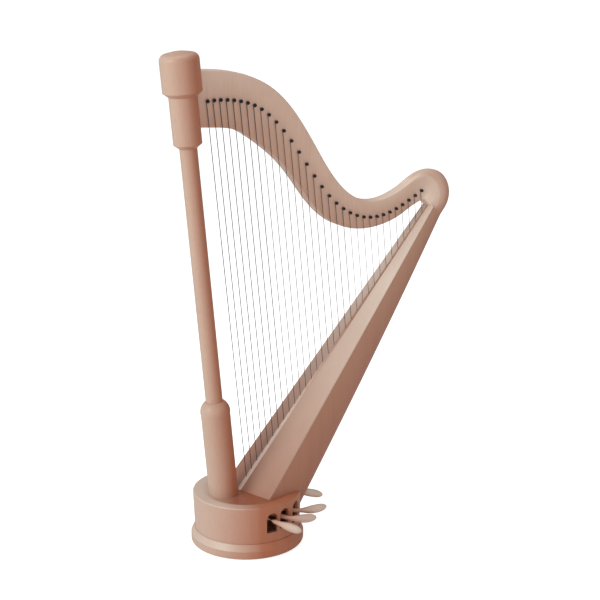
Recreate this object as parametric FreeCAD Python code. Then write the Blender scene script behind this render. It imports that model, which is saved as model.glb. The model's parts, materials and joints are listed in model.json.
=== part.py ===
import FreeCAD, Part
import math
import os

# Concert pedal harp, millimetres, +Z up.
# Origin: centre of the round base on the floor.  +X runs from the column towards the player,
# -Y is the player's left, the side on which the strings leave the neck.

Vector = FreeCAD.Vector

# ---------------------------------------------------------------- driving dimensions

# Base
PAD_RADIUS = 198.0
PAD_HEIGHT = 3.0
PLATE_RADIUS = 215.0
PLATE_SIDE_TOP = 34.0
PLATE_TOP = 58.0
PLATE_EDGE = 6.0
DRUM_FOOT_RADIUS = 200.0
DRUM_RADIUS = 206.0
DRUM_SIDE_TOP = 198.0
DRUM_TOP = 203.0
DRUM_WALL = 14.0
DECK_TOP = 203.0
DECK_THICKNESS = 12.0
DECK_RADIUS = 166.0
LEDGE_RADIUS = 156.0
GAP = 0.2
GLUE = 0.3

# Column, a straight line leaning away from the player
LEAN = 5.2
PEDESTAL_RADIUS = 55.0
PEDESTAL_SHOULDER = 335.0
PEDESTAL_LENGTH = 388.0
SHAFT_RADIUS = 32.0
SHAFT_BORE = 22.0
SHAFT_FOOT = 300.0
CAPITAL_RADIUS = 51.5
CAPITAL_BORE = 43.0
CAPITAL_FOOT = 1344.5
CAPITAL_CORNER = 1360.0
CAPITAL_TOP = 1529.0
HEAD_RADIUS = 71.0
HEAD_BORE = 62.0
HEAD_CORNER = 1545.0
HEAD_TOP = 1686.0
HEAD_ROUND = 24.0

# Soundbox, measured along, across and into the body from the foot of the string rib
RIB_FOOT = Vector(-36.0, 0.0, 201.0)
RIB_SLOPE = 40.4
BODY_LENGTH = 1330.0
FOOT_HALF_WIDTH = 150.0
TOP_HALF_WIDTH = 32.0
FOOT_SETBACK = 37.0
FOOT_DEPTH = 243.0
MIDDLE_DEPTH = 166.0
TOP_DEPTH = 68.0
FULLNESS = 0.75
BOARD_THICKNESS = 5.0
SHELL_WALL = 6.0
BLOCK_TOP = 232.0
BODY_LOWEST = 118.0
SHOULDER = 34.0

# Neck
NECK_NEAR = 6.0
NECK_FAR = 56.0
NECK_EDGE = 6.0
CHANNEL_LOW = 1748.0
CHANNEL_HIGH = 1774.0
CHANNEL_END = -24.0

# Strings and pins
STRING_COUNT = 32
FIRST_GAP = 26.0
LAST_GAP = 31.4
STRING_SLOPE = 5.75
FIRST_STRING_X = -1.0
BASS_COUNT = 8
TREBLE_COUNT = 12
BASS_STRING = 1.4
GUT_STRING = 1.15
TREBLE_STRING = 0.9
STRING_HOLE = 1.7
PIN_BARREL = 4.6
PIN_HEAD = 5.6
PIN_SHANK = 3.6
FIT = 0.05

# Pedals and the action they work
PEDAL_NAMES = ["d", "c", "b", "e", "f", "g", "a"]
PEDAL_HEIGHT = 148.0
TAIL_ARM = 90.0
ROD_RING = 16.0
ROD_RADIUS = 1.3
ROD_GAP = 0.3
SLOT_WIDTH = 44.0
CRANK_ARM = 40.0
CRANK_SWING = 9.0
CRANK_PITCH = 5.5
CRANK_HEIGHT = 1800.0
AXLE_RADIUS = 4.0
CRANK_ACROSS = 20.0
ROD_BEND_FOOT = 1376.0
ROD_BEND_TOP = 1588.0
GUIDE_PLACES = [420.0, 880.0, 1330.0]
LINK_THICKNESS = 1.8

# Slot angle from +X, fingertip, slot's lower and upper ends and how far the finger dips as it leaves
# the slot, for the pedals from the rear round to the player's right; the left side mirrors them.
RIGHT_PEDALS = [(0.0, Vector(342.0, 0.0, 98.0), 101.0, 182.0, 9.0),
                (56.0, Vector(287.0, 112.0, 104.0), 102.0, 184.0, 7.0),
                (76.0, Vector(198.0, 181.0, 104.0), 104.0, 180.0, 12.0),
                (92.0, Vector(84.0, 261.0, 102.0), 97.0, 174.0, 10.0)]
CENTRE_PEDAL = 3

# Half thickness of a finger at fractions of its length from inside the slot to its tip.
FINGER_SHAPE = [(0.0, 7.6), (0.2, 7.6), (0.3, 8.5), (0.42, 11.7), (0.55, 15.0), (0.7, 16.0),
                (0.84, 14.6), (0.93, 10.8), (0.98, 6.0), (1.0, 1.5)]

# Screws and bolts: where they stand, and the radius of each bolt and of its clearance hole.
BOLT_ANGLES = [28.0, 120.0, 160.0, 200.0, 240.0, 332.0]
BOLT_RING = 192.0
BOLT_RADIUS = 4.0
BOLT_HOLE = 4.02
BODY_SCREW_PLACES = [(60.0, -60.0), (60.0, 60.0), (130.0, 0.0)]
COLUMN_SCREW_RING = 39.0
SCREW_RADIUS = 3.0
SCREW_HOLE = 3.02
SCREW_REACH = 18.0

# Rib on the soundboard's ridge, oval openings in the back (station, half length, half width) and formers.
RIB_FOOT_WIDTH = 8.5
RIB_TOP_WIDTH = 3.0
RIB_FOOT_HEIGHT = 7.0
RIB_TOP_HEIGHT = 2.5
HOLE_STATIONS = [(330.0, 62.0, 34.0), (540.0, 58.0, 31.0), (735.0, 52.0, 27.0),
                 (915.0, 46.0, 22.0), (1080.0, 40.0, 17.0)]
FORMER_STATIONS = [240.0, 640.0, 1000.0]

# Upper and lower edges of the neck in the plane of the strings, from the head to the knee.
NECK_UPPER = [(-240.0, 1798.0), (-110.0, 1797.0), (42.0, 1764.0), (147.0, 1704.0), (234.0, 1610.0),
              (315.0, 1487.0), (408.0, 1350.0), (486.0, 1282.0), (571.0, 1257.0), (656.0, 1270.0),
              (742.0, 1312.0)]
NECK_LOWER = [(-240.0, 1598.0), (-110.0, 1594.0), (-21.0, 1576.0), (88.0, 1507.0), (165.0, 1440.0),
              (264.0, 1314.0), (335.0, 1233.0), (425.0, 1175.0), (519.0, 1153.0), (631.0, 1163.0),
              (760.0, 1219.0)]

# Fan of sections round the knee: inner point, outer point, near and far faces, and how far the
# outer corners are rounded across the thickness and along the section.
KNEE = [((790.0, 1231.0), (790.0, 1341.0), 5.0, 56.0, 16.0, 20.0),
        ((806.0, 1236.0), (845.0, 1351.0), 1.0, 55.0, 22.0, 34.0),
        ((814.0, 1232.0), (906.0, 1326.0), -7.0, 51.0, 26.0, 46.0),
        ((820.0, 1224.0), (933.0, 1262.0), -17.0, 46.0, 29.0, 56.0),
        ((824.0, 1216.0), (912.0, 1202.0), -26.0, 38.0, 30.0, 60.0)]

# Gentle curve on which the tuning pins stand.
PIN_LINE = [(-160.0, 1688.0), (-92.0, 1691.0), (-11.0, 1681.0), (71.0, 1650.0), (132.0, 1601.0),
            (230.0, 1483.0), (333.0, 1339.0), (432.0, 1242.0), (527.0, 1199.0), (617.0, 1198.0),
            (705.0, 1227.0), (815.0, 1284.0)]

# ---------------------------------------------------------------- frames

lean = math.radians(LEAN)
COLUMN_FOOT = Vector(-100.0, 0.0, 192.0)
COLUMN_AXIS = Vector(-math.sin(lean), 0.0, math.cos(lean))
COLUMN_ACROSS = Vector(math.cos(lean), 0.0, math.sin(lean))

slope = math.radians(RIB_SLOPE)
RIB_AXIS = Vector(math.sin(slope), 0.0, math.cos(slope))
INTO_BODY = Vector(math.cos(slope), 0.0, -math.sin(slope))

UP = Vector(0.0, 0.0, 1.0)
SIDEWAYS = Vector(0.0, 1.0, 0.0)
ORIGIN = Vector(0.0, 0.0, 0.0)


def on_column(along, across=0.0, side=0.0):
    """Point measured along the column's axis and across it."""
    return COLUMN_FOOT + COLUMN_AXIS * along + COLUMN_ACROSS * across + SIDEWAYS * side


def on_body(station, side, depth):
    """Point measured along the string rib, sideways, and into the body."""
    return RIB_FOOT + RIB_AXIS * station + SIDEWAYS * side + INTO_BODY * depth


def upright(radius, height):
    """Point in the plane Y = 0."""
    return Vector(radius, 0.0, height)


# ---------------------------------------------------------------- general shapes

def rod(start, end, radius):
    """Round bar between two points."""
    return Part.makeCylinder(radius, start.distanceToPoint(end), start, end - start)


def disc(radius, low, high, x=0.0, y=0.0):
    """Upright cylinder between two heights."""
    return Part.makeCylinder(radius, high - low, Vector(x, y, low))


def box(low, high):
    """Box between two corners."""
    size = high - low
    return Part.makeBox(size.x, size.y, size.z, low)


def joined(shapes):
    """One solid made of several overlapping ones."""
    first = shapes[0]
    return first.fuse(shapes[1:]).removeSplitter()


def outline(place, points):
    """Closed face through 2-D points; a pair of points is an arc through the first to the second."""
    edges = []
    start = points[0]
    for step in points[1:] + points[:1]:
        if isinstance(step[0], tuple):
            middle, end = step
            edges.append(Part.Arc(place(*start), place(*middle), place(*end)).toShape())
        else:
            end = step
            edges.append(Part.makeLine(place(*start), place(*end)))
        start = end
    return Part.Face(Part.Wire(edges))


def turn(x, y, radius, begin, end):
    """Arc step for an outline, about (x, y), between two angles in degrees."""
    half = math.radians((begin + end) / 2.0)
    last = math.radians(end)
    middle = (x + radius * math.cos(half), y + radius * math.sin(half))
    return (middle, (x + radius * math.cos(last), y + radius * math.sin(last)))


def turned_base(points):
    """Solid of revolution about the base's upright axis."""
    return outline(upright, points).revolve(ORIGIN, UP, 360)


def turned_column(points):
    """Solid of revolution about the leaning column; points are (radius, distance along)."""
    face = outline(lambda radius, along: on_column(along, radius), points)
    return face.revolve(COLUMN_FOOT, COLUMN_AXIS, 360)


# ---------------------------------------------------------------- body sections

def half_width(station):
    return FOOT_HALF_WIDTH + (TOP_HALF_WIDTH - FOOT_HALF_WIDTH) * station / BODY_LENGTH


def setback(station):
    """How far the soundboard's edges lie behind its ridge."""
    return FOOT_SETBACK * (1.0 - station / BODY_LENGTH)


def body_depth(station):
    """Depth from the ridge to the middle of the back: a parabola through three depths."""
    part = station / BODY_LENGTH
    bend = 2.0 * (FOOT_DEPTH + TOP_DEPTH - 2.0 * MIDDLE_DEPTH)
    return FOOT_DEPTH + (TOP_DEPTH - FOOT_DEPTH - bend) * part + bend * part * part


def body_section(station, inset, front):
    """Closed wire across the body, its back half a full round and its front straight."""
    width = half_width(station) - inset
    edge = setback(station) + front
    back = body_depth(station) - inset
    full = edge + FULLNESS * (back - edge)
    curves = []
    for side in (-1.0, 1.0):
        poles = [on_body(station, side * width, edge), on_body(station, side * width, full),
                 on_body(station, side * FULLNESS * width, back), on_body(station, 0.0, back)]
        if side > 0:
            poles.reverse()
        curve = Part.BezierCurve()
        curve.setPoles(poles)
        curves.append(curve.toShape())
    closing = Part.makeLine(on_body(station, width, edge), on_body(station, -width, edge))
    return Part.Wire(curves + [closing])


def body_solid(inset, front, begin=-60.0, end=BODY_LENGTH):
    """Solid filling the body between two stations."""
    count = 6
    stations = [begin + (end - begin) * index / count for index in range(count + 1)]
    return Part.makeLoft([body_section(station, inset, front) for station in stations], True)


def board_solid(begin, end, top, bottom, width_scale=1.0):
    """Slab that follows the two slopes of the soundboard."""
    wires = []
    for station in (begin, end):
        width = half_width(station) * width_scale
        edge = setback(station) * width_scale
        corners = [(-width, edge + top), (0.0, top), (width, edge + top),
                   (width, edge + bottom), (0.0, bottom), (-width, edge + bottom)]
        wires.append(Part.makePolygon([on_body(station, side, depth) for side, depth in corners]
                                      + [on_body(station, -width, edge + top)]))
    return Part.makeLoft(wires, True, True)


# ---------------------------------------------------------------- envelopes used for trimming

def drum_profile():
    return [(DRUM_FOOT_RADIUS, PLATE_TOP), (DRUM_RADIUS, DRUM_SIDE_TOP),
            turn(DRUM_RADIUS - (DRUM_TOP - DRUM_SIDE_TOP), DRUM_SIDE_TOP, DRUM_TOP - DRUM_SIDE_TOP, 0, 90),
            (DECK_RADIUS, DRUM_TOP)]


def base_envelope():
    """Everything below the body: plate, drum and deck as one solid."""
    return turned_base([(0.0, 0.0), (PLATE_RADIUS, 0.0), (PLATE_RADIUS, PLATE_SIDE_TOP),
                        (DRUM_FOOT_RADIUS, PLATE_TOP)] + drum_profile()[1:]
                       + [(0.0, DECK_TOP)])


def head_envelope():
    """Capital and head cap, filled, with the shaft below them."""
    return turned_column([(0.0, CAPITAL_FOOT), (SHAFT_RADIUS, CAPITAL_FOOT), (CAPITAL_RADIUS, CAPITAL_CORNER),
                          (CAPITAL_RADIUS, CAPITAL_TOP), (HEAD_RADIUS, HEAD_CORNER),
                          (HEAD_RADIUS, HEAD_TOP), (0.0, HEAD_TOP)])


def slots():
    """Seven arched openings through the drum's wall, one for each pedal."""
    cutters = []
    half = SLOT_WIDTH / 2.0
    for pedal in range(7):
        angle = math.radians(pedal_slot_angle(pedal))
        low, high = slot_heights(pedal)
        outward = Vector(math.cos(angle), math.sin(angle), 0.0)
        along = Vector(-math.sin(angle), math.cos(angle), 0.0)

        def place(side, height):
            return outward * 160.0 + along * side + UP * height

        face = outline(place, [(-half, low), (half, low), (half, high - half),
                               turn(0.0, high - half, half, 0, 180)])
        cutters.append(face.extrude(outward * 110.0))
    return Part.makeCompound(cutters)


# ---------------------------------------------------------------- pedal layout

def pedal_row(pedal):
    return RIGHT_PEDALS[abs(pedal - CENTRE_PEDAL)]


def pedal_side(pedal):
    """Which side of the harp a pedal belongs to: -1 for the player's left, 1 for the right."""
    return 1.0 if pedal > CENTRE_PEDAL else -1.0


def pedal_slot_angle(pedal):
    return pedal_row(pedal)[0] * pedal_side(pedal)


def pedal_tip(pedal):
    tip = pedal_row(pedal)[1]
    return Vector(tip.x, tip.y * pedal_side(pedal), tip.z)


def slot_heights(pedal):
    return pedal_row(pedal)[2:4]


def ring_angle(pedal):
    return math.radians(30.0 * (pedal - CENTRE_PEDAL))


def ring_foot():
    """Where the column's axis crosses the pedals' own height."""
    return on_column((PEDAL_HEIGHT - COLUMN_FOOT.z) / math.cos(lean))


def pedal_tail(pedal):
    angle = ring_angle(pedal)
    return ring_foot() + Vector(math.cos(angle), math.sin(angle), 0.0) * ROD_RING


def pedal_root(pedal):
    angle = math.radians(pedal_slot_angle(pedal))
    middle = DRUM_RADIUS - DRUM_WALL / 2.0
    return Vector(middle * math.cos(angle), middle * math.sin(angle), PEDAL_HEIGHT)


def pedal_direction(pedal):
    way = pedal_root(pedal) - pedal_tail(pedal)
    way.z = 0.0
    return way.normalize()


def pedal_pivot(pedal):
    return pedal_tail(pedal) + pedal_direction(pedal) * TAIL_ARM


def pedal_axis(pedal):
    """Horizontal hinge line; turning about it by the right hand lowers the outer end."""
    return UP.cross(pedal_direction(pedal))


# ---------------------------------------------------------------- base

def floor_pad():
    return disc(PAD_RADIUS, 0.0, PAD_HEIGHT)


def bolt_places():
    places = []
    for angle in BOLT_ANGLES:
        turn_by = math.radians(angle)
        places.append((BOLT_RING * math.cos(turn_by), BOLT_RING * math.sin(turn_by)))
    return places


def base_plate():
    edge = PLATE_EDGE
    plate = turned_base([(0.0, PAD_HEIGHT), (PLATE_RADIUS - edge, PAD_HEIGHT),
                         turn(PLATE_RADIUS - edge, PAD_HEIGHT + edge, edge, -90, 0),
                         (PLATE_RADIUS, PLATE_SIDE_TOP),
                         (DRUM_FOOT_RADIUS + 3.0, PLATE_TOP), (0.0, PLATE_TOP)])
    holes = []
    for x, y in bolt_places():
        holes.append(disc(8.5, PAD_HEIGHT, PAD_HEIGHT + 8.0, x, y))
        holes.append(disc(BOLT_HOLE, PAD_HEIGHT, PLATE_TOP, x, y))
    return plate.cut(Part.makeCompound(holes))


def base_bolts():
    bolts = []
    for x, y in bolt_places():
        head = disc(8.0, PAD_HEIGHT + GAP, PAD_HEIGHT + 8.0, x, y)
        bolts.append(head.fuse(disc(BOLT_RADIUS, PAD_HEIGHT + 4.0, PLATE_TOP + 32.0, x, y)))
    return Part.makeCompound(bolts)


def pedal_box():
    profile = drum_profile() + [(DECK_RADIUS, DECK_TOP - DECK_THICKNESS),
                                (LEDGE_RADIUS, DECK_TOP - DECK_THICKNESS), (LEDGE_RADIUS, DECK_TOP - 24.0),
                                (DRUM_RADIUS - DRUM_WALL, DECK_TOP - 36.0),
                                (DRUM_FOOT_RADIUS - DRUM_WALL, PLATE_TOP)]
    holes = [disc(BOLT_HOLE, PLATE_TOP, PLATE_TOP + 33.0, x, y) for x, y in bolt_places()]
    return turned_base(profile).cut(slots()).cut(Part.makeCompound(holes))


def column_screw_places():
    """Three screws that pull the pedestal down on the deck."""
    centre = ring_foot()
    places = []
    for angle in (90.0, 180.0, 270.0):
        turn_by = math.radians(angle)
        places.append((centre.x - 3.5 + COLUMN_SCREW_RING * math.cos(turn_by),
                       COLUMN_SCREW_RING * math.sin(turn_by)))
    return places


def base_deck():
    deck = disc(DECK_RADIUS - GAP, DECK_TOP - DECK_THICKNESS, DECK_TOP)
    centre = on_column((DECK_TOP - COLUMN_FOOT.z) / math.cos(lean))
    holes = [disc(24.0, DECK_TOP - DECK_THICKNESS, DECK_TOP, centre.x)]
    for x, y in column_screw_places() + BODY_SCREW_PLACES:
        holes.append(disc(SCREW_HOLE, DECK_TOP - DECK_THICKNESS, DECK_TOP, x, y))
    return deck.cut(Part.makeCompound(holes))


def deck_screws():
    screws = []
    for x, y in column_screw_places() + BODY_SCREW_PLACES:
        low = DECK_TOP - DECK_THICKNESS
        head = disc(2.0 * SCREW_RADIUS, low - 5.0, low, x, y)
        screws.append(head.fuse(disc(SCREW_RADIUS, low - 1.0, DECK_TOP + SCREW_REACH, x, y)))
    return Part.makeCompound(screws)


def slot_felts():
    """Felt strip on the sill of every slot."""
    felts = []
    for pedal in range(7):
        angle = pedal_slot_angle(pedal)
        sill = slot_heights(pedal)[0]
        strip = box(Vector(194.0, -17.0, sill), Vector(202.0, 17.0, sill + 4.0))
        strip.rotate(ORIGIN, UP, angle)
        felts.append(strip)
    return Part.makeCompound(felts)


# ---------------------------------------------------------------- pedals

def along_lever(pedal, distance, side=0.0, rise=0.0):
    """Point measured from the pedal's pivot along its lever, sideways and up."""
    return (pedal_pivot(pedal) + pedal_direction(pedal) * distance
            + pedal_axis(pedal) * side + UP * rise)


def lever_box(pedal, begin, end, side_low, side_high, low, high):
    """Block lined up with a pedal's lever, sizes measured from its pivot."""
    corners = [(begin, low), (end, low), (end, high), (begin, high)]
    points = [along_lever(pedal, distance, side_low, rise) for distance, rise in corners]
    face = Part.Face(Part.makePolygon(points + points[:1]))
    return face.extrude(pedal_axis(pedal) * (side_high - side_low))


def pedal_finger(pedal):
    """Finger that leaves the slot slim, swells like a drop and bends towards the player."""
    root = pedal_root(pedal)
    direction = pedal_direction(pedal)
    tip = pedal_tip(pedal)
    inner = root - direction * 26.0
    elbow = root + direction * 40.0 - UP * pedal_row(pedal)[4]
    path = Part.BezierCurve()
    path.setPoles([inner, elbow, (elbow + tip) * 0.5, tip])
    wires = []
    for fraction, radius in FINGER_SHAPE:
        centre = path.value(fraction)
        way = path.tangent(fraction)[0]
        level = UP.cross(way).normalize()
        ring = Part.Ellipse(centre + level * (radius * 1.002), centre + way.cross(level) * radius, centre)
        wires.append(Part.Wire(ring.toShape()))
    return Part.makeLoft(wires, True)


def pedal_lever(pedal):
    """Steel lever with its hub and tail, carrying the finger."""
    reach = along_lever(pedal, 0.0).distanceToPoint(pedal_root(pedal))
    bar = lever_box(pedal, -TAIL_ARM + 6.0, reach - 14.0, -4.5, -1.0, -5.0, 5.0)
    nose = rod(along_lever(pedal, -TAIL_ARM, -4.5, 0.0), along_lever(pedal, -TAIL_ARM, -0.4, 0.0), 6.99)
    hub = rod(along_lever(pedal, 0.0, -4.5), along_lever(pedal, 0.0, 4.5), 7.0)
    bore = rod(along_lever(pedal, 0.0, -6.0), along_lever(pedal, 0.0, 6.0), AXLE_RADIUS + FIT)
    return joined([bar, nose, hub, pedal_finger(pedal)]).cut(bore)


def pedal_bracket(pedal):
    """Fork that stands on the base plate and carries one pedal's pin."""
    floor = PLATE_TOP - PEDAL_HEIGHT
    cheeks = lever_box(pedal, -9.0, 9.0, -9.5, 9.5, floor, 9.0)
    room = lever_box(pedal, -10.0, 10.0, -5.0, 5.0, floor + 6.0, 10.0)
    bore = rod(along_lever(pedal, 0.0, -10.0), along_lever(pedal, 0.0, 10.0), AXLE_RADIUS + 0.02)
    return cheeks.cut(room).cut(bore)


def pedal_pin(pedal):
    return rod(along_lever(pedal, 0.0, -10.5), along_lever(pedal, 0.0, 10.5), AXLE_RADIUS)


def pedal_spring(pedal):
    """Close-wound torsion coil round the hub, beside the lever, its turns drawn as ridges."""
    wire = 0.6
    radius = 8.2
    turns = 3
    points = [(radius - wire, 0.0), (radius, 0.0)]
    for index in range(turns):
        middle = (2 * index + 1) * wire
        points.append(((radius + wire, middle), (radius, middle + wire)))
    points.append((radius - wire, 2 * turns * wire))
    face = outline(lambda out, side: along_lever(pedal, out, side + 0.5), points)
    return face.revolve(pedal_pivot(pedal), pedal_axis(pedal), 360)


# ---------------------------------------------------------------- column

def column_pedestal():
    """Thick lower length, rounded in to the shaft, standing on the deck."""
    shoulder = (PEDESTAL_RADIUS - 21.0 * (1.0 - math.sqrt(0.5)), PEDESTAL_SHOULDER + 53.0 * math.sqrt(0.5))
    turned = turned_column([(SHAFT_BORE, -40.0), (PEDESTAL_RADIUS, -40.0),
                            (PEDESTAL_RADIUS, PEDESTAL_SHOULDER),
                            (shoulder, (SHAFT_RADIUS + 2.0, PEDESTAL_LENGTH)),
                            (SHAFT_RADIUS + FIT, PEDESTAL_LENGTH), (SHAFT_RADIUS + FIT, SHAFT_FOOT),
                            (SHAFT_BORE, SHAFT_FOOT)])
    holes = [disc(SCREW_HOLE, DECK_TOP, DECK_TOP + SCREW_REACH + 1.0, x, y) for x, y in column_screw_places()]
    return turned.cut(base_envelope()).cut(Part.makeCompound(holes))


def column_shaft():
    return turned_column([(SHAFT_BORE, SHAFT_FOOT), (SHAFT_RADIUS, SHAFT_FOOT),
                          (SHAFT_RADIUS, CAPITAL_CORNER), (SHAFT_BORE, CAPITAL_CORNER)])


def neck_bolt_lines():
    """Two bolts from inside the capital into the end of the neck."""
    middle = (NECK_NEAR + NECK_FAR) / 2.0
    lines = []
    for along in (1425.0, 1475.0):
        start = on_column(along, 12.0, middle)
        lines.append((start, start + Vector(72.0, 0.0, 0.0)))
    return lines


def neck_bolt_holes():
    return Part.makeCompound([rod(start, end, BOLT_HOLE) for start, end in neck_bolt_lines()])


def neck_bolts():
    bolts = []
    for start, end in neck_bolt_lines():
        head = rod(start, start + Vector(5.0, 0.0, 0.0), 6.0)
        bolts.append(head.fuse(rod(start, end, BOLT_RADIUS)))
    return Part.makeCompound(bolts)


def column_capital():
    shell = turned_column([(SHAFT_RADIUS + FIT, CAPITAL_FOOT), (CAPITAL_RADIUS, CAPITAL_CORNER),
                           (CAPITAL_RADIUS, CAPITAL_TOP), (CAPITAL_BORE, CAPITAL_TOP),
                           (CAPITAL_BORE, CAPITAL_CORNER + 12.0), (SHAFT_RADIUS + FIT, CAPITAL_CORNER + 4.0)])
    return shell.cut(neck_bolt_holes())


def link_window():
    """Way through from the head into the neck for the seven links."""
    return box(Vector(-235.0, NECK_NEAR + 5.5, CHANNEL_LOW),
               Vector(CHANNEL_END, NECK_FAR - 5.5, CHANNEL_HIGH))


def head_cap():
    rounded = HEAD_TOP - 7.0 - HEAD_ROUND
    shell = turned_column([(CAPITAL_BORE, CAPITAL_TOP), (CAPITAL_RADIUS, CAPITAL_TOP),
                           (HEAD_RADIUS, HEAD_CORNER), (HEAD_RADIUS, rounded),
                           turn(HEAD_RADIUS - HEAD_ROUND, rounded, HEAD_ROUND, 0, 90),
                           ((24.0, HEAD_TOP - 1.8), (4.0, HEAD_TOP)), (0.0, HEAD_TOP),
                           (0.0, HEAD_TOP - 14.0), (HEAD_BORE - 14.0, HEAD_TOP - 18.0),
                           (HEAD_BORE, HEAD_TOP - 34.0), (HEAD_BORE, HEAD_CORNER + 6.0)])
    return shell.cut(link_window())


def ring_offset(pedal):
    angle = ring_angle(pedal)
    return ROD_RING * math.cos(angle), ROD_RING * math.sin(angle)


def rod_guides():
    """Perforated discs that keep the rods apart inside the shaft."""
    guides = []
    for along in GUIDE_PLACES:
        guide = rod(on_column(along), on_column(along + 8.0), SHAFT_BORE - FIT)
        holes = []
        for pedal in range(7):
            across, side = ring_offset(pedal)
            holes.append(rod(on_column(along - 1.0, across, side),
                             on_column(along + 9.0, across, side), ROD_RADIUS + 0.08))
        guides.append(guide.cut(Part.makeCompound(holes)))
    return Part.makeCompound(guides)


# ---------------------------------------------------------------- action

def crank_centre():
    """Middle of the crank axle."""
    along = (CRANK_HEIGHT - COLUMN_FOOT.z) / math.cos(lean)
    centre = on_column(along)
    return Vector(centre.x + CRANK_ACROSS, (NECK_NEAR + NECK_FAR) / 2.0, CRANK_HEIGHT)


def crank_side(pedal):
    return crank_centre().y + CRANK_PITCH * (pedal - CENTRE_PEDAL)


def crank_end(pedal, towards_column):
    """Centre of a crank's raised or hanging arm end at rest."""
    swing = math.radians(CRANK_SWING)
    centre = crank_centre()
    if towards_column:
        offset = Vector(-math.cos(swing), 0.0, -math.sin(swing))
    else:
        offset = Vector(math.sin(swing), 0.0, -math.cos(swing))
    return Vector(centre.x, crank_side(pedal), centre.z) + offset * CRANK_ARM


def push_rod(pedal):
    """Straight in the shaft, then led across inside the capital to stand under its crank."""
    across, side = ring_offset(pedal)
    foot_height = PEDAL_HEIGHT + 7.0 + ROD_GAP + 0.3
    foot = (foot_height - COLUMN_FOOT.z - across * math.sin(lean)) / math.cos(lean)
    end = crank_end(pedal, True)
    top_height = end.z - 3.0 - ROD_GAP
    top_along = (top_height - COLUMN_FOOT.z) / math.cos(lean)
    top_across = (end.x - on_column(top_along).x) / math.cos(lean)
    top_side = crank_side(pedal) - 1.15
    points = [on_column(foot, across, side), on_column(ROD_BEND_FOOT, across, side),
              on_column(ROD_BEND_TOP, top_across, top_side), on_column(top_along, top_across, top_side)]
    lengths = [rod(points[index], points[index + 1], ROD_RADIUS) for index in range(3)]
    elbows = [Part.makeSphere(ROD_RADIUS, point) for point in points[1:3]]
    return lengths[0].fuse(lengths[1:] + elbows)


def crank(pedal):
    """Bell crank: one arm over its rod, the other hanging into its link."""
    side = crank_side(pedal)
    centre = Vector(crank_centre().x, side, CRANK_HEIGHT)
    low = SIDEWAYS * -2.45
    plate = SIDEWAYS * 2.6
    shapes = [rod(centre + low, centre - low, 7.5)]
    for towards_column in (True, False):
        end = crank_end(pedal, towards_column)
        way = (end - centre).normalize()
        across = SIDEWAYS.cross(way) * 3.0
        corners = [centre + across + low, end + across + low, end - across + low, centre - across + low]
        shapes.append(Part.Face(Part.makePolygon(corners + corners[:1])).extrude(plate))
        shapes.append(rod(end + low, end + low + plate, 3.0))
    pin_start = crank_end(pedal, False)
    shapes.append(rod(pin_start, pin_start + SIDEWAYS * 2.3, 2.0))
    bore = rod(centre + low * 2.0, centre - low * 2.0, AXLE_RADIUS + FIT)
    return joined(shapes).cut(bore)


def link(pedal):
    """First bar of the action, drawn towards the head as its crank turns."""
    end = crank_end(pedal, False)
    side = crank_side(pedal) + 0.55
    bar = box(Vector(end.x - 6.0, side, end.z - 6.0),
              Vector(CHANNEL_END - 6.0, side + LINK_THICKNESS, end.z + 6.0))
    eye = rod(Vector(end.x, side - 1.0, end.z), Vector(end.x, side + 3.0, end.z), 2.06)
    opening = box(Vector(end.x - 2.06, side - 1.0, end.z - 1.6),
                  Vector(end.x + 2.06, side + 3.0, end.z + 1.6))
    lower = eye.copy()
    lower.translate(UP * -1.6)
    upper = eye.copy()
    upper.translate(UP * 1.6)
    return bar.cut(Part.makeCompound([lower, upper])).cut(opening)


def crank_axle():
    centre = crank_centre()
    reach = SIDEWAYS * 23.5
    return rod(centre - reach, centre + reach, AXLE_RADIUS)


def crank_frame():
    """Bridge over the cranks that holds their axle, hung from the head cap."""
    centre = crank_centre()
    shapes = []
    for side in (-1.0, 1.0):
        near = centre.y + side * 20.0
        far = centre.y + side * 23.0
        shapes.append(box(Vector(centre.x - 10.0, min(near, far), centre.z - 9.0),
                          Vector(centre.x + 8.0, max(near, far), centre.z + 20.0)))
    shapes.append(box(Vector(centre.x - 10.0, centre.y - 23.0, centre.z + 16.0),
                      Vector(centre.x + 8.0, centre.y + 23.0, centre.z + 20.0)))
    for side in (-10.0, 10.0):
        shapes.append(rod(Vector(centre.x - 1.0, centre.y + side, centre.z + 18.0),
                          Vector(centre.x - 1.0, centre.y + side, centre.z + 58.0), 4.0))
    frame = joined(shapes)
    bore = rod(centre - SIDEWAYS * 30.0, centre + SIDEWAYS * 30.0, AXLE_RADIUS + 0.02)
    return frame.cut(bore).cut(head_cap())


# ---------------------------------------------------------------- neck

def smooth_curve(points):
    curve = Part.BSplineCurve()
    curve.interpolate([Vector(x, 0.0, z) for x, z in points])
    return curve


def rounded_section(inner, outer, near, far, across, along, corner=3.0, fullness=0.5523):
    """Closed wire of a bar's cross-section: small inner corners, larger outer ones."""
    length = inner.distanceToPoint(outer)
    way = (outer - inner).normalize()

    def at(side, depth):
        return inner + way * depth + SIDEWAYS * side

    def corner_curve(start, knee_point, end):
        curve = Part.BezierCurve()
        curve.setPoles([start, start + (knee_point - start) * fullness,
                        end + (knee_point - end) * fullness, end])
        return curve.toShape()

    points = [at(near, corner), at(near, length - along), at(near + across, length),
              at(far - across, length), at(far, length - along), at(far, corner),
              at(far - corner, 0.0), at(near + corner, 0.0)]
    edges = [Part.makeLine(points[0], points[1]), corner_curve(points[1], at(near, length), points[2]),
             Part.makeLine(points[2], points[3]), corner_curve(points[3], at(far, length), points[4]),
             Part.makeLine(points[4], points[5]), corner_curve(points[5], at(far, 0.0), points[6]),
             Part.makeLine(points[6], points[7]), corner_curve(points[7], at(near, 0.0), points[0])]
    return Part.Wire(edges)


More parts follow.
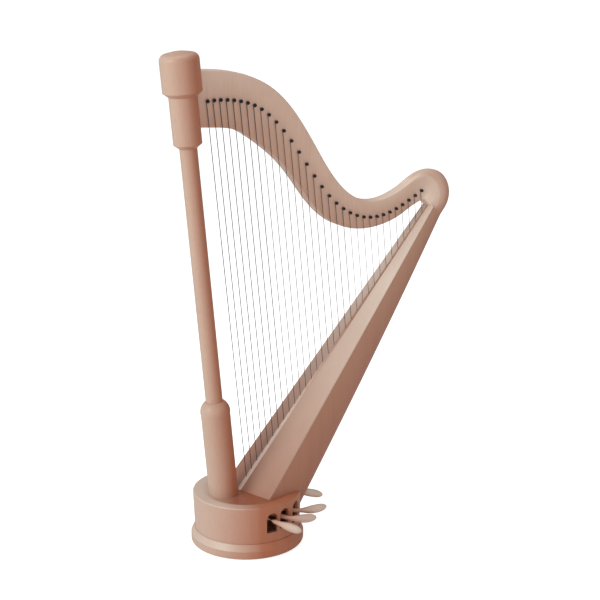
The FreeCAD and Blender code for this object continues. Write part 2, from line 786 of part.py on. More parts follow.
def neck_sections():
    upper = smooth_curve(NECK_UPPER)
    lower = smooth_curve(NECK_LOWER)
    count = 14
    wires = []
    for index in range(count + 1):
        part = index / count
        top = upper.value(upper.FirstParameter + part * (upper.LastParameter - upper.FirstParameter))
        bottom = lower.value(lower.FirstParameter + part * (lower.LastParameter - lower.FirstParameter))
        wires.append(rounded_section(bottom, top, NECK_NEAR, NECK_FAR, NECK_EDGE, NECK_EDGE))
    for inner, outer, near, far, across, along in KNEE:
        wires.append(rounded_section(Vector(inner[0], 0.0, inner[1]), Vector(outer[0], 0.0, outer[1]),
                                     near, far, across, along))
    width = TOP_HALF_WIDTH
    wires.append(rounded_section(on_body(BODY_LENGTH, 0.0, 0.0), on_body(BODY_LENGTH, 0.0, TOP_DEPTH),
                                 -width, width, width - 1.0, TOP_DEPTH - BOARD_THICKNESS, 2.0, FULLNESS))
    return wires


def shoulder_bolt_lines():
    return [(on_body(BODY_LENGTH - SHOULDER - 6.0, side, 28.0), on_body(BODY_LENGTH + 34.0, side, 28.0))
            for side in (-11.0, 11.0)]


def neck():
    """Laminated neck that ends in the knee, bored for the tuning pins."""
    plank = Part.makeLoft(neck_sections(), True)
    holes = [rod(place - SIDEWAYS * 30.0, place + SIDEWAYS * 90.0, PIN_SHANK + 0.02)
             for place in pin_places()]
    holes += [rod(place - SIDEWAYS * 30.0, place + SIDEWAYS * (NECK_NEAR - 0.2), PIN_HEAD + 0.4)
              for place in pin_places()]
    holes += [rod(start, end, BOLT_HOLE) for start, end in neck_bolt_lines()]
    holes += [rod(start, end, BOLT_HOLE) for start, end in shoulder_bolt_lines()]
    return plank.cut(head_envelope()).cut(Part.makeCompound(holes)).cut(link_window())


def shoulder_bolts():
    bolts = []
    for start, end in shoulder_bolt_lines():
        bolts.append(rod(start, start + RIB_AXIS * 6.0, 6.5).fuse(rod(start, end - RIB_AXIS, BOLT_RADIUS)))
    return Part.makeCompound(bolts)


# ---------------------------------------------------------------- tuning pins and strings

def string_radius(index):
    if index < BASS_COUNT:
        return BASS_STRING
    if index >= STRING_COUNT - TREBLE_COUNT:
        return TREBLE_STRING
    return GUT_STRING


def string_way():
    angle = math.radians(STRING_SLOPE)
    return Vector(math.sin(angle), 0.0, -math.cos(angle))


def string_foot(index):
    """Where a string meets the line of the rib."""
    way = string_way()
    start = Vector(FIRST_STRING_X, 0.0, RIB_FOOT.z + (FIRST_STRING_X - RIB_FOOT.x) * RIB_AXIS.z / RIB_AXIS.x)
    square = Vector(way.z, 0.0, -way.x)
    widening = (LAST_GAP - FIRST_GAP) / (STRING_COUNT - 1)
    offset = FIRST_GAP * index + widening * index * index / 2.0
    return start + RIB_AXIS * (offset / abs(RIB_AXIS.dot(square)))


def pin_places():
    """Each pin stands so that its string runs off the side towards the column."""
    line = smooth_curve(PIN_LINE)
    way = string_way()
    across = Vector(-way.z, 0.0, way.x)
    places = []
    for index in range(STRING_COUNT):
        foot = string_foot(index)
        wanted = PIN_BARREL + string_radius(index) + FIT
        low = line.FirstParameter
        high = line.LastParameter
        for _ in range(40):
            middle = (low + high) / 2.0
            if (line.value(middle) - foot).dot(across) < wanted:
                low = middle
            else:
                high = middle
        places.append(line.value(low))
    return places


def tuning_pins():
    """Tapered steel pins: rounded head and string groove on the left, square key end on the right."""
    pins = []
    for place in pin_places():
        def beside(radius, side):
            return place + Vector(radius, side, 0.0)

        face = outline(beside, [(0.0, -8.0), ((PIN_HEAD * 0.72, -6.6), (PIN_HEAD, -4.4)),
                                (PIN_HEAD, -3.2), (PIN_BARREL, -2.6), (PIN_BARREL, 2.8),
                                (PIN_HEAD, 3.4), (PIN_HEAD, NECK_NEAR - 0.3), (PIN_SHANK, NECK_NEAR - 0.3),
                                (PIN_SHANK, NECK_FAR + 4.0), (0.0, NECK_FAR + 4.0)])
        pin = face.revolve(place, SIDEWAYS, 360)
        half = PIN_SHANK * 0.68
        key = box(place + Vector(-half, NECK_FAR + 3.0, -half), place + Vector(half, NECK_FAR + 16.0, half))
        pins.append(pin.fuse(key))
    return Part.makeCompound(pins)


def strings(first, last):
    """Straight strings with one turn round the pin, carried through the board to a knot."""
    made = []
    way = string_way()
    places = pin_places()
    for index in range(first, last):
        radius = string_radius(index)
        foot = string_foot(index)
        across = Vector(-way.z, 0.0, way.x)
        coil = PIN_BARREL + radius + FIT
        top = places[index] - across * coil
        ring = Part.makeTorus(coil, radius * 0.85, places[index], SIDEWAYS)
        line = rod(top, foot + way * 18.0, radius)
        knot = Part.makeSphere(3.2, foot + way * 19.2)
        made.append(ring.fuse([line, knot]))
    return Part.makeCompound(made)


def string_holes():
    way = string_way()
    feet = [string_foot(index) for index in range(STRING_COUNT)]
    return Part.makeCompound([rod(foot - way * 12.0, foot + way * 32.0, STRING_HOLE) for foot in feet])


# ---------------------------------------------------------------- soundbox

def pedestal_envelope():
    return rod(on_column(-60.0), on_column(PEDESTAL_SHOULDER), PEDESTAL_RADIUS + GAP)


def above_base(shape):
    """Trimmed to stand on the deck and round the drum's rim, clear of the pedal slots."""
    below = box(Vector(-400.0, -300.0, -200.0), Vector(400.0, 300.0, BODY_LOWEST))
    return shape.cut(below).cut(base_envelope()).cut(slots()).cut(pedestal_envelope())


def soundbox_shell():
    """Tapering bent shell with oval openings down its back."""
    shell = body_solid(0.0, BOARD_THICKNESS).cut(body_room(SHELL_WALL))
    holes = []
    for station, length, width in HOLE_STATIONS:
        depth = body_depth(station)
        oval = Part.Ellipse(on_body(station + length, 0.0, depth - 30.0),
                            on_body(station, width, depth - 30.0), on_body(station, 0.0, depth - 30.0))
        face = Part.Face(Part.Wire(oval.toShape()))
        holes.append(face.extrude(INTO_BODY * 60.0))
    return above_base(shell.cut(Part.makeCompound(holes)))


def soundboard():
    board = board_solid(-60.0, BODY_LENGTH, 0.0, BOARD_THICKNESS)
    return above_base(board).cut(string_holes())


def string_bar():
    """Hardwood strip under the board that takes the pull of the strings."""
    bar = board_solid(-20.0, BODY_LENGTH - SHOULDER, BOARD_THICKNESS, BOARD_THICKNESS + 5.0, 0.16)
    below = board_solid(-60.0, BODY_LENGTH, -5.0, BOARD_THICKNESS)
    return above_base(bar).cut(below).cut(string_holes())


def string_rib():
    """Half-round strip on the ridge, thick and blunt at its foot, thin at its top."""
    wires = []
    stations = ((4.0, RIB_FOOT_WIDTH, RIB_FOOT_HEIGHT), (BODY_LENGTH - 2.0, RIB_TOP_WIDTH, RIB_TOP_HEIGHT))
    for station, width, height in stations:
        arch = Part.Arc(on_body(station, -width, 0.0), on_body(station, 0.0, -height),
                        on_body(station, width, 0.0)).toShape()
        foot = Part.makePolygon([on_body(station, width, 0.0), on_body(station, width, 6.0),
                                 on_body(station, -width, 6.0), on_body(station, -width, 0.0)])
        wires.append(Part.Wire([arch] + foot.Edges))
    strip = Part.makeLoft(wires, True, True)
    toe = Part.makeSphere(RIB_FOOT_WIDTH - 1.0, on_body(5.0, 0.0, 0.5))
    board = board_solid(-60.0, BODY_LENGTH, 0.0, BOARD_THICKNESS * 2.0)
    return above_base(strip.fuse(toe)).cut(board).cut(string_holes())


def body_room(inset):
    """Everything inside the shell, drawn in from its outside."""
    return body_solid(inset, -8.0, -80.0, BODY_LENGTH + 5.0)


def slab_across_body(begin, end, inset, front):
    """The inside of the body between two stations, behind a depth under the board."""
    corners = [(-170.0, -60.0), (170.0, -60.0), (170.0, 300.0), (-170.0, 300.0), (-170.0, -60.0)]
    face = Part.Face(Part.makePolygon([on_body(begin, side, depth) for side, depth in corners]))
    slab = face.extrude(RIB_AXIS * (end - begin))
    board = board_solid(-90.0, BODY_LENGTH + 20.0, -40.0, front)
    return slab.common(body_room(inset)).cut(board)


def bottom_block():
    """Wedge of hardwood that fills the foot of the body and screws to the deck."""
    inside = slab_across_body(-60.0, 260.0, SHELL_WALL + GLUE, BOARD_THICKNESS + 14.0)
    wedge = inside.common(box(Vector(-300.0, -300.0, 60.0), Vector(400.0, 300.0, BLOCK_TOP)))
    holes = [disc(SCREW_HOLE, DECK_TOP, DECK_TOP + SCREW_REACH + 1.0, x, y) for x, y in BODY_SCREW_PLACES]
    return above_base(wedge).cut(Part.makeCompound(holes))


def shoulder_block():
    """Block in the top of the body that the neck is bolted to."""
    block = slab_across_body(BODY_LENGTH - SHOULDER, BODY_LENGTH, SHELL_WALL + GLUE, BOARD_THICKNESS)
    return block.cut(Part.makeCompound([rod(start, end, BOLT_HOLE) for start, end in shoulder_bolt_lines()]))


def soundbox_formers():
    """Bent metal straps that keep the shell in shape."""
    formers = []
    for station in FORMER_STATIONS:
        hoop = slab_across_body(station, station + 14.0, SHELL_WALL + GLUE, setback(station) + 30.0)
        formers.append(hoop.cut(body_room(SHELL_WALL + 4.0)))
    return Part.makeCompound(formers)


# ---------------------------------------------------------------- everything

def nodes():
    """Every separate piece, by name."""
    treble = STRING_COUNT - TREBLE_COUNT
    made = {
        "floor_pad": floor_pad(),
        "base_plate": base_plate(),
        "base_bolts": base_bolts(),
        "pedal_box": pedal_box(),
        "slot_felts": slot_felts(),
        "base_deck": base_deck(),
        "deck_screws": deck_screws(),
        "pedal_brackets": Part.makeCompound([pedal_bracket(pedal) for pedal in range(7)]),
        "pedal_pins": Part.makeCompound([pedal_pin(pedal) for pedal in range(7)]),
        "pedal_springs": Part.makeCompound([pedal_spring(pedal) for pedal in range(7)]),
        "column_pedestal": column_pedestal(),
        "column_shaft": column_shaft(),
        "column_capital": column_capital(),
        "head_cap": head_cap(),
        "rod_guides": rod_guides(),
        "crank_frame": crank_frame(),
        "crank_axle": crank_axle(),
        "neck": neck(),
        "neck_bolts": neck_bolts(),
        "shoulder_bolts": shoulder_bolts(),
        "shoulder_block": shoulder_block(),
        "soundbox_shell": soundbox_shell(),
        "soundbox_formers": soundbox_formers(),
        "bottom_block": bottom_block(),
        "soundboard": soundboard(),
        "string_bar": string_bar(),
        "string_rib": string_rib(),
        "tuning_pins": tuning_pins(),
        "strings_bass": strings(0, BASS_COUNT),
        "strings_gut": strings(BASS_COUNT, treble),
        "strings_treble": strings(treble, STRING_COUNT),
    }
    for pedal, name in enumerate(PEDAL_NAMES):
        made["pedal_" + name] = pedal_lever(pedal)
        made["rod_" + name] = push_rod(pedal)
        made["crank_" + name] = crank(pedal)
        made["link_" + name] = link(pedal)
    return made


def main():
    os.makedirs("parts", exist_ok=True)
    for name, shape in nodes().items():
        shape.exportStep(os.path.join("parts", name + ".step"))


main()
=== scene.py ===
import json
import math

import bpy
import bmesh
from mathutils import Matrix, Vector


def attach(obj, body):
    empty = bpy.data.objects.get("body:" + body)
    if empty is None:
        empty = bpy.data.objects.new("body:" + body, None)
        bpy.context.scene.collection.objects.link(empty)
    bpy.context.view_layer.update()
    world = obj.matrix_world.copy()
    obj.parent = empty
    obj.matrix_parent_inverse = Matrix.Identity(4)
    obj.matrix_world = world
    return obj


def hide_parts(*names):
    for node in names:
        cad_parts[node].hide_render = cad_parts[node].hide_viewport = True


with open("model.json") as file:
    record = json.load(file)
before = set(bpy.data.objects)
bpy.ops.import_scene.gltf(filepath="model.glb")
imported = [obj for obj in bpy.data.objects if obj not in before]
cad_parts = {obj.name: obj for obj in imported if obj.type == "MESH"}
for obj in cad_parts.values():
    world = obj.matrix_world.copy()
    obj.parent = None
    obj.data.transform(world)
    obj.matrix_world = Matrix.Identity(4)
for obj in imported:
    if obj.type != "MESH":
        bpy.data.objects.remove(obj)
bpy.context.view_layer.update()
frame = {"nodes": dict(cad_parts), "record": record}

PEDALS = "dcbefga"
NODES = frame["nodes"]
NODE_BODY = {node: body for body, members in frame["record"]["behaviour"]["bodies"].items()
             for node in members}

# Directions of the painted light, in which the stain is painted palest: round the column and base, and
# over the neck and body.
ROUND_LIT = Vector((-0.94, 0.24, 0.25)).normalized()
FLAT_LIT = Vector((-0.93, -0.12, 0.34)).normalized()


# ---------------------------------------------------------------- material helpers

def new_material(name):
    material = bpy.data.materials.new(name)
    material.use_nodes = True
    tree = material.node_tree
    return material, tree, tree.nodes["Principled BSDF"]


def add_node(tree, kind, **values):
    node = tree.nodes.new(kind)
    for key, value in values.items():
        if key in node.inputs:
            node.inputs[key].default_value = value
        else:
            setattr(node, key, value)
    return node


def colour(red, green, blue):
    """Linear colour from 0-255 display values."""
    linear = []
    for value in (red, green, blue):
        part = value / 255.0
        linear.append(part / 12.92 if part <= 0.04045 else ((part + 0.055) / 1.055) ** 2.4)
    return (*linear, 1.0)


def mix_colour(tree, factor, first, second):
    """Mix node; factor, first and second are each a socket or a plain value."""
    node = tree.nodes.new("ShaderNodeMix")
    node.data_type = "RGBA"
    for index, value in ((0, factor), (6, first), (7, second)):
        if isinstance(value, bpy.types.NodeSocket):
            tree.links.new(value, node.inputs[index])
        else:
            node.inputs[index].default_value = value
    return node.outputs[2]


def math_node(tree, operation, *values):
    node = tree.nodes.new("ShaderNodeMath")
    node.operation = operation
    for index, value in enumerate(values):
        if isinstance(value, bpy.types.NodeSocket):
            tree.links.new(value, node.inputs[index])
        else:
            node.inputs[index].default_value = value
    return node.outputs[0]


def spread(tree, socket, low, high, to_low, to_high):
    """Linear map of a socket's range, clamped."""
    node = tree.nodes.new("ShaderNodeMapRange")
    tree.links.new(socket, node.inputs[0])
    for index, value in enumerate((low, high, to_low, to_high), 1):
        node.inputs[index].default_value = value
    return node.outputs[0]


def object_place(tree, scale, turn=(0.0, 0.0, 0.0)):
    """Position in the frame, turned and scaled, for the grain textures."""
    coords = tree.nodes.new("ShaderNodeTexCoord")
    mapping = add_node(tree, "ShaderNodeMapping")
    mapping.inputs["Rotation"].default_value = turn
    mapping.inputs["Scale"].default_value = scale
    tree.links.new(coords.outputs["Object"], mapping.inputs["Vector"])
    return mapping.outputs[0]


def noise(tree, place, scale, detail=4.0, rough=0.55):
    node = add_node(tree, "ShaderNodeTexNoise", Scale=scale, Detail=detail, Roughness=rough)
    tree.links.new(place, node.inputs["Vector"])
    return node.outputs[0]


def bump(tree, shader, height, strength, distance=0.001):
    node = add_node(tree, "ShaderNodeBump", Strength=strength, Distance=distance)
    tree.links.new(height, node.inputs["Height"])
    tree.links.new(node.outputs[0], shader.inputs["Normal"])


def along(tree, socket, way, low, high):
    """0 to 1 as a vector socket's share along a direction goes from low to high."""
    dot = tree.nodes.new("ShaderNodeVectorMath")
    dot.operation = "DOT_PRODUCT"
    tree.links.new(socket, dot.inputs[0])
    dot.inputs[1].default_value = way
    return spread(tree, dot.outputs["Value"], low, high, 0.0, 1.0)


def facing(tree, way, low, high):
    """1 where a surface faces a direction, 0 where it faces away."""
    geometry = tree.nodes.new("ShaderNodeNewGeometry")
    return along(tree, geometry.outputs["Normal"], way, low, high)


def placed(tree, way, low, high):
    """1 on the side of the harp that lies in a direction, 0 on the other."""
    return along(tree, object_place(tree, (1.0, 1.0, 1.0)), way, low, high)


# ---------------------------------------------------------------- materials

GRAIN_TURNS = {"column": (0.0, math.radians(5.2), 0.0), "body": (0.0, math.radians(-40.4), 0.0),
               "neck": (0.0, math.radians(60.0), 0.0), "base": (0.0, 0.0, 0.0)}


# Round face of the knee: its centre and radius, and how strong its painted light is from 0 to 1.
KNEE_CENTRE = (0.80, 0.0, 1.262)
KNEE_RADIUS = 0.073
KNEE_PAINTED_LIGHT = 0.85
# Painted shade band round the knee's outside: its soft edge, how far it darkens and the way it faces.
BAND_EDGE = 0.003
BAND_SHADE_DEPTH = 0.72
BAND_WAY = (0.893, 0.0, 0.45)


def stained_wood_with_painted_light(name, turn, pale, deep, light_and_shade, gloss=0.42, grain=1.0):
    """Rosy stained hardwood under satin lacquer: long fine grain, mottled stain, and painted light and
    shade that mix a pale lit copy of the stain with a deep shaded one.
    """
    material, tree, shader = new_material(name)
    grain_place = object_place(tree, (1.0, 1.0, 0.045), turn)
    fine = noise(tree, grain_place, 420.0, 6.0, 0.6)
    broad = noise(tree, grain_place, 36.0, 3.0, 0.5)
    mottle = noise(tree, object_place(tree, (1.0, 1.0, 1.0)), 5.0, 2.0, 0.5)
    # Painted light and shade: the pale lit and deep shaded copies of the stain, mixed by place and facing.
    base = mix_colour(tree, light_and_shade(tree), deep, pale)
    darker = mix_colour(tree, spread(tree, fine, 0.35, 0.7, 0.0, 0.13 * grain), base, colour(112, 66, 46))
    banded = mix_colour(tree, spread(tree, broad, 0.3, 0.75, 0.0, 0.09 * grain), darker,
                        colour(206, 166, 140))
    mottled = mix_colour(tree, spread(tree, mottle, 0.3, 0.7, 0.0, 0.08), banded, colour(158, 98, 76))
    tree.links.new(mottled, shader.inputs["Base Color"])
    tree.links.new(spread(tree, fine, 0.3, 0.7, gloss - 0.05, gloss + 0.08), shader.inputs["Roughness"])
    shader.inputs["Coat Weight"].default_value = 0.10
    shader.inputs["Coat Roughness"].default_value = 0.35
    shader.inputs["Specular IOR Level"].default_value = 0.30
    bump(tree, shader, fine, 0.06 * grain, 0.0004)
    return material


def round_painted_light(tree):
    """Column, capital and head: painted light, pale on the lit side of their round, and painted shade
    deeper round the far side.
    """
    return facing(tree, ROUND_LIT, -0.55, 1.0)


def base_painted_light(tree):
    """Drum and plate: painted light by place round the base, and a little more painted light where a face
    tips upwards.
    """
    side = placed(tree, (-0.97, 0.25, 0.0), 0.0, 0.19)
    tipped = facing(tree, (0.0, 0.0, 1.0), 0.05, 0.45)
    return math_node(tree, "MULTIPLY", side, spread(tree, tipped, 0.0, 1.0, 0.75, 1.45))


# Deck: painted light on the part towards the column and the back, painted shade over the rest where the
# body shades it.
def deck_painted_light(tree):
    return placed(tree, (-0.85, 0.52, 0.0), 0.03, 0.17)


def knee_shade_band(tree):
    """1 on the painted shade band that runs round the outside of the knee, 0 elsewhere."""
    shifted = tree.nodes.new("ShaderNodeVectorMath")
    shifted.operation = "SUBTRACT"
    tree.links.new(object_place(tree, (1.0, 0.0, 1.0)), shifted.inputs[0])
    shifted.inputs[1].default_value = KNEE_CENTRE
    reach = tree.nodes.new("ShaderNodeVectorMath")
    reach.operation = "LENGTH"
    tree.links.new(shifted.outputs[0], reach.inputs[0])
    outside = spread(tree, reach.outputs["Value"], KNEE_RADIUS - BAND_EDGE,
                     KNEE_RADIUS + BAND_EDGE, 0.0, 1.0)
    return math_node(tree, "MULTIPLY", outside, placed(tree, BAND_WAY, 1.262, 1.277))


def neck_painted_light(tree):
    """Neck: painted light towards its upper edge, on faces turned to the lit side and over the knee;
    painted shade round the knee's outside.
    """
    edge = tree.nodes.new("ShaderNodeAttribute")
    edge.attribute_name = "upper_edge"
    turned = facing(tree, FLAT_LIT, -0.45, 0.45)
    along_neck = spread(tree, edge.outputs["Fac"], 0.0, 1.0, 0.45, 1.0)
    over_knee = math_node(tree, "MULTIPLY", placed(tree, (1.0, 0.0, 0.0), 0.68, 0.76), KNEE_PAINTED_LIGHT)
    light_and_shade = math_node(tree, "MAXIMUM", along_neck, over_knee)
    banded = math_node(tree, "MULTIPLY", light_and_shade, spread(tree, knee_shade_band(tree), 0.0, 1.0, 1.0, BAND_SHADE_DEPTH))
    return math_node(tree, "MULTIPLY", turned, banded)


def body_painted_light(tree):
    """Flank: painted light on faces turned to the lit side, painted shade deepening towards the foot."""
    height = placed(tree, (0.0, 0.0, 1.0), 0.15, 1.25)
    turned = facing(tree, FLAT_LIT, -0.75, 0.85)
    return math_node(tree, "MULTIPLY", turned, spread(tree, height, 0.0, 1.0, 0.35, 1.0))


def board_painted_light(tree):
    """Soundboard: painted shade on the far half, which faces away from the light, and on both halves
    deepening towards the foot; the near half stays paler.
    """
    height = placed(tree, (0.0, 0.0, 1.0), 0.15, 0.95)
    near = placed(tree, (0.0, -1.0, 0.0), -0.002, 0.002)
    upper = placed(tree, (0.0, 0.0, 1.0), 0.25, 1.1)
    half = mix_colour(tree, near, (0.25, 0.25, 0.25, 1.0), (1.0, 1.0, 1.0, 1.0))
    softened = math_node(tree, "MAXIMUM", half, spread(tree, upper, 0.0, 1.0, 0.4, 1.0))
    return math_node(tree, "MULTIPLY", softened, spread(tree, height, 0.0, 1.0, 0.15, 0.95))


def rib_painted_light(tree):
    """Rib: painted highlight at its foot, painted shade as a deeper thin line further up."""
    height = placed(tree, (0.0, 0.0, 1.0), 0.45, 0.8)
    return spread(tree, height, 0.0, 1.0, 0.9, 0.15)


def pedal_painted_light(tree):
    """Pedals: painted light on their tips and upper faces, painted shade where they leave the base."""
    coords = tree.nodes.new("ShaderNodeTexCoord")
    flat = tree.nodes.new("ShaderNodeVectorMath")
    flat.operation = "MULTIPLY"
    tree.links.new(coords.outputs["Object"], flat.inputs[0])
    flat.inputs[1].default_value = (1.0, 1.0, 0.0)
    reach = tree.nodes.new("ShaderNodeVectorMath")
    reach.operation = "LENGTH"
    tree.links.new(flat.outputs[0], reach.inputs[0])
    upper = facing(tree, (-0.45, -0.25, 0.86), -0.8, 0.9)
    return math_node(tree, "MULTIPLY", spread(tree, reach.outputs["Value"], 0.20, 0.275, 0.15, 1.0),
                     spread(tree, upper, 0.0, 1.0, 0.45, 1.0))


def metal(name, tint, rough, metallic=1.0, brush=300.0):
    material, tree, shader = new_material(name)
    place = object_place(tree, (1.0, 1.0, 0.2))
    scratch = noise(tree, place, brush, 5.0, 0.65)
    wear = noise(tree, object_place(tree, (1.0, 1.0, 1.0)), 30.0, 3.0, 0.5)
    shade = mix_colour(tree, spread(tree, wear, 0.35, 0.7, 0.0, 0.35), tint,
                       (tint[0] * 0.6, tint[1] * 0.58, tint[2] * 0.55, 1.0))
    tree.links.new(shade, shader.inputs["Base Color"])
    tree.links.new(spread(tree, scratch, 0.3, 0.7, rough - 0.06, rough + 0.1), shader.inputs["Roughness"])
    shader.inputs["Metallic"].default_value = metallic
    bump(tree, shader, scratch, 0.05, 0.0002)
    return material


def felt(name, tint):
    material, tree, shader = new_material(name)
    fibre = noise(tree, object_place(tree, (1.0, 1.0, 1.0)), 900.0, 8.0, 0.7)
    shade = mix_colour(tree, spread(tree, fibre, 0.3, 0.7, 0.0, 0.6), tint,
                       (tint[0] * 1.7, tint[1] * 1.7, tint[2] * 1.7, 1.0))
    tree.links.new(shade, shader.inputs["Base Color"])
    shader.inputs["Roughness"].default_value = 0.95
    shader.inputs["Sheen Weight"].default_value = 0.1
    bump(tree, shader, fibre, 0.4, 0.0006)
    return material


def string_material(name, tint, winding):
    """Dark string; the bass ones show the ridges of their wire winding."""
    material, tree, shader = new_material(name)
    place = object_place(tree, (1.0, 1.0, 1.0))
    wave = add_node(tree, "ShaderNodeTexWave", Scale=winding, Distortion=0.0)
    wave.bands_direction = "Z"
    tree.links.new(place, wave.inputs["Vector"])
    shade = mix_colour(tree, spread(tree, wave.outputs[1], 0.0, 1.0, 0.0, 0.35), tint,
                       (tint[0] * 1.6, tint[1] * 1.6, tint[2] * 1.6, 1.0))
    tree.links.new(shade, shader.inputs["Base Color"])
    shader.inputs["Roughness"].default_value = 0.5
    bump(tree, shader, wave.outputs[1], 0.3, 0.0002)
    return material


# Pale lit and deep shaded copies of each stain: the two ends of its painted light and shade.
STAIN_PAINTED_LIT = colour(206, 182, 164)
STAIN_PAINTED_SHADE = colour(172, 104, 74)
BASE_STAIN_PAINTED_LIT = colour(215, 194, 178)
MATERIALS = {
    "column": stained_wood_with_painted_light("column_stain_painted_light", GRAIN_TURNS["column"], STAIN_PAINTED_LIT, STAIN_PAINTED_SHADE, round_painted_light),
    "body": stained_wood_with_painted_light("body_stain_painted_light", GRAIN_TURNS["body"], colour(212, 180, 156), colour(152, 82, 52),
                         body_painted_light),
    "neck": stained_wood_with_painted_light("neck_stain_painted_light", GRAIN_TURNS["neck"], colour(240, 219, 201), colour(178, 112, 82),
                         neck_painted_light),
    "base": stained_wood_with_painted_light("base_stain_painted_light", GRAIN_TURNS["base"], BASE_STAIN_PAINTED_LIT, STAIN_PAINTED_SHADE, base_painted_light),
    "deck": stained_wood_with_painted_light("deck_stain_painted_light", GRAIN_TURNS["base"], BASE_STAIN_PAINTED_LIT, colour(152, 84, 54), deck_painted_light),
    "board": stained_wood_with_painted_light("board_stain_painted_light", GRAIN_TURNS["body"], colour(236, 218, 202), colour(150, 88, 62),
                          board_painted_light),
    "rib": stained_wood_with_painted_light("rib_stain_painted_light", GRAIN_TURNS["body"], colour(232, 210, 194), colour(160, 104, 78),
                        rib_painted_light),
    "inside": stained_wood_with_painted_light("inside_wood_painted_light", GRAIN_TURNS["base"], colour(202, 170, 130), colour(150, 112, 80),
                           round_painted_light),
    "pedal": stained_wood_with_painted_light("pedal_enamel_painted_light", GRAIN_TURNS["base"], colour(232, 213, 196), colour(168, 104, 76),
                          pedal_painted_light, 0.35, 0.4),
    "steel": metal("brushed_steel", (0.55, 0.55, 0.57, 1.0), 0.32),
    "brass": metal("brushed_brass", (0.72, 0.5, 0.2, 1.0), 0.3),
    "black": metal("blackened_steel", (0.010, 0.008, 0.008, 1.0), 0.38, 0.5),
    "aluminium": metal("mill_aluminium", (0.75, 0.76, 0.78, 1.0), 0.35),
    "felt": felt("pressed_felt", (0.050, 0.020, 0.014, 1.0)),
    "bass": string_material("wound_wire", colour(60, 58, 60), 700.0),
    "gut": string_material("dark_gut", colour(62, 60, 62), 60.0),
    "treble": string_material("dark_nylon", colour(66, 64, 66), 40.0),
}

SURFACES = {
    "base_plate": "base", "pedal_box": "base", "base_deck": "deck", "floor_pad": "felt",
    "slot_felts": "felt", "base_bolts": "steel", "deck_screws": "steel", "pedal_brackets": "steel",
    "pedal_pins": "steel", "pedal_springs": "steel", "column_pedestal": "column",
    "column_shaft": "column", "column_capital": "column", "head_cap": "column",
    "rod_guides": "inside", "crank_frame": "steel", "crank_axle": "steel", "neck": "neck",
    "neck_bolts": "steel", "shoulder_bolts": "steel", "shoulder_block": "inside",
    "soundbox_shell": "body", "soundbox_formers": "aluminium", "bottom_block": "inside",
    "soundboard": "board", "string_bar": "inside", "string_rib": "rib", "tuning_pins": "black",
    "strings_bass": "bass", "strings_gut": "gut", "strings_treble": "treble",
}
for letter in PEDALS:
    SURFACES["pedal_" + letter] = "pedal"
    SURFACES["rod_" + letter] = "steel"
    SURFACES["crank_" + letter] = "brass"
    SURFACES["link_" + letter] = "brass"


def dress(piece, material):
    piece.data.materials.clear()
    piece.data.materials.append(material)


for node, surface in SURFACES.items():
    dress(NODES[node], MATERIALS[surface])


# ---------------------------------------------------------------- polished copies of the CAD shapes

SMOOTH_ANGLE = math.radians(20.0)
MERGE_DISTANCE = 0.00002


def polished(node):
    """Copy of a CAD node with its facets joined and shaded smooth up to SMOOTH_ANGLE."""
    source = NODES[node]
    mesh = source.data.copy()
    piece = bpy.data.objects.new(node + "_finish", mesh)
    bpy.context.scene.collection.objects.link(piece)
    shape = bmesh.new()
    shape.from_mesh(mesh)
    bmesh.ops.remove_doubles(shape, verts=shape.verts, dist=MERGE_DISTANCE)
    for face in shape.faces:
        face.smooth = True
    for edge in shape.edges:
        edge.smooth = len(edge.link_faces) == 2 and edge.calc_face_angle(0.0) < SMOOTH_ANGLE
    shape.to_mesh(mesh)
    shape.free()
    for name in ("custom_normal", "sharp_face"):
        if name in mesh.attributes:
            mesh.attributes.remove(mesh.attributes[name])
    dress(piece, MATERIALS[SURFACES[node]])
    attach(piece, NODE_BODY[node])
    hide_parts(node)
    return piece


# Middle line of the neck in the plane of the strings, head to knee.
NECK_SPINE = [Vector((x, z)) for x, z in
              ((-0.24, 1.70), (-0.11, 1.70), (0.01, 1.67), (0.12, 1.60), (0.20, 1.52), (0.29, 1.40),
               (0.37, 1.29), (0.455, 1.228), (0.545, 1.205), (0.645, 1.217), (0.76, 1.265), (0.86, 1.33))]
NECK_HALF = 0.075


def above_spine(x, z):
    """Signed distance from the neck's middle line, positive on its upper side."""
    place = Vector((x, z))
    best = None
    for start, end in zip(NECK_SPINE, NECK_SPINE[1:]):
        way = end - start
        part = min(max((place - start).dot(way) / way.length_squared, 0.0), 1.0)
        offset = place - (start + way * part)
        if best is None or offset.length < abs(best):
            best = math.copysign(offset.length, way.x * offset.y - way.y * offset.x)
    return best


def mark_neck_edges(piece):
    """Store on each vertex how near it is to the neck's upper edge, 0 to 1; the neck's painted light
    follows it.
    """
    mesh = piece.data
    marks = mesh.attributes.new("upper_edge", "FLOAT", "POINT")
    for vertex, mark in zip(mesh.vertices, marks.data):
        share = above_spine(vertex.co.x, vertex.co.z) / NECK_HALF
        mark.value = min(max(0.5 + 0.5 * share, 0.0), 1.0)


for node in SURFACES:
    finished = polished(node)
    if node == "neck":
        mark_neck_edges(finished)


# ---------------------------------------------------------------- floor, light and camera

SKY_LIGHT = 0.48
KEY_POWER = 150.0
FILL_POWER = 60.0
TOP_POWER = 45.0
FLOOR_GLOW = 0.75
FLOOR_SIZE = 60.0
LIGHT_TARGET = (0.3, 0.0, 0.8)
KEY_TINT = (1.0, 0.985, 0.96)

CAMERA_PLACE = (-2.605, -4.624, 2.419)
CAMERA_HEADING = math.radians(31.586)
CAMERA_DIP = math.radians(15.515)
CAMERA_LENS = 89.6
CAMERA_SENSOR = 36.0
CAMERA_REACH = 200.0


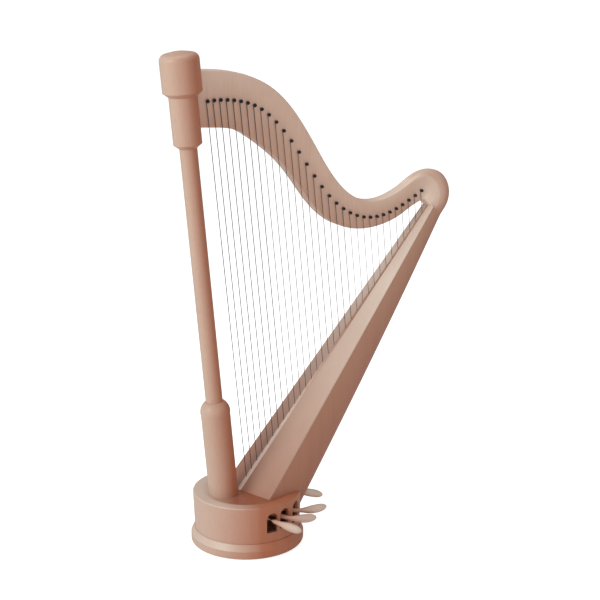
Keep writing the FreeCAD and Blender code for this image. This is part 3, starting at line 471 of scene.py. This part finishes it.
def pale_floor():
    bpy.ops.mesh.primitive_plane_add(size=FLOOR_SIZE, location=(0.0, 0.0, 0.0))
    floor = bpy.context.object
    floor.name = "studio_floor"
    material, tree, shader = new_material("pale_floor")
    grain = noise(tree, object_place(tree, (1.0, 1.0, 1.0)), 3.0)
    shade = mix_colour(tree, spread(tree, grain, 0.3, 0.7, 0.0, 0.3), (0.93, 0.93, 0.93, 1.0),
                       (0.90, 0.90, 0.90, 1.0))
    tree.links.new(shade, shader.inputs["Base Color"])
    path = tree.nodes.new("ShaderNodeLightPath")
    tree.links.new(shade, shader.inputs["Emission Color"])
    tree.links.new(spread(tree, path.outputs["Is Camera Ray"], 0.0, 1.0, 0.0, FLOOR_GLOW),
                   shader.inputs["Emission Strength"])
    shader.inputs["Roughness"].default_value = 0.9
    floor.data.materials.append(material)


def area_light(name, place, target, size, power, tint=(1.0, 1.0, 1.0)):
    data = bpy.data.lights.new(name, "AREA")
    data.shape = "DISK"
    data.size = size
    data.energy = power
    data.color = tint
    light = bpy.data.objects.new(name, data)
    bpy.context.scene.collection.objects.link(light)
    light.location = place
    light.rotation_euler = (Vector(target) - Vector(place)).to_track_quat("-Z", "Y").to_euler()


def studio():
    world = bpy.data.worlds.new("studio")
    bpy.context.scene.world = world
    world.use_nodes = True
    tree = world.node_tree
    back = tree.nodes["Background"]
    back.inputs[0].default_value = (1.0, 1.0, 1.0, 1.0)
    path = tree.nodes.new("ShaderNodeLightPath")
    tree.links.new(spread(tree, path.outputs["Is Camera Ray"], 0.0, 1.0, SKY_LIGHT, 1.0), back.inputs[1])
    area_light("key", (-5.4, -0.7, 3.4), (0.1, 0.0, 0.8), 3.0, KEY_POWER, KEY_TINT)
    area_light("fill", (-1.0, -5.5, 2.2), LIGHT_TARGET, 4.0, FILL_POWER)
    area_light("top", (0.2, 0.4, 5.2), LIGHT_TARGET, 3.0, TOP_POWER)


def place_camera():
    """Eye above head height, out on the column side of the player's left."""
    data = bpy.data.cameras.new("camera")
    data.sensor_width = CAMERA_SENSOR
    data.lens = CAMERA_LENS
    data.clip_end = CAMERA_REACH
    camera = bpy.data.objects.new("camera", data)
    bpy.context.scene.collection.objects.link(camera)
    camera.location = CAMERA_PLACE
    ahead = Vector((math.sin(CAMERA_HEADING) * math.cos(CAMERA_DIP),
                    math.cos(CAMERA_HEADING) * math.cos(CAMERA_DIP), -math.sin(CAMERA_DIP)))
    camera.rotation_euler = ahead.to_track_quat("-Z", "Y").to_euler()
    bpy.context.scene.camera = camera


pale_floor()
studio()
place_camera()
bpy.context.scene.view_settings.view_transform = "Standard"
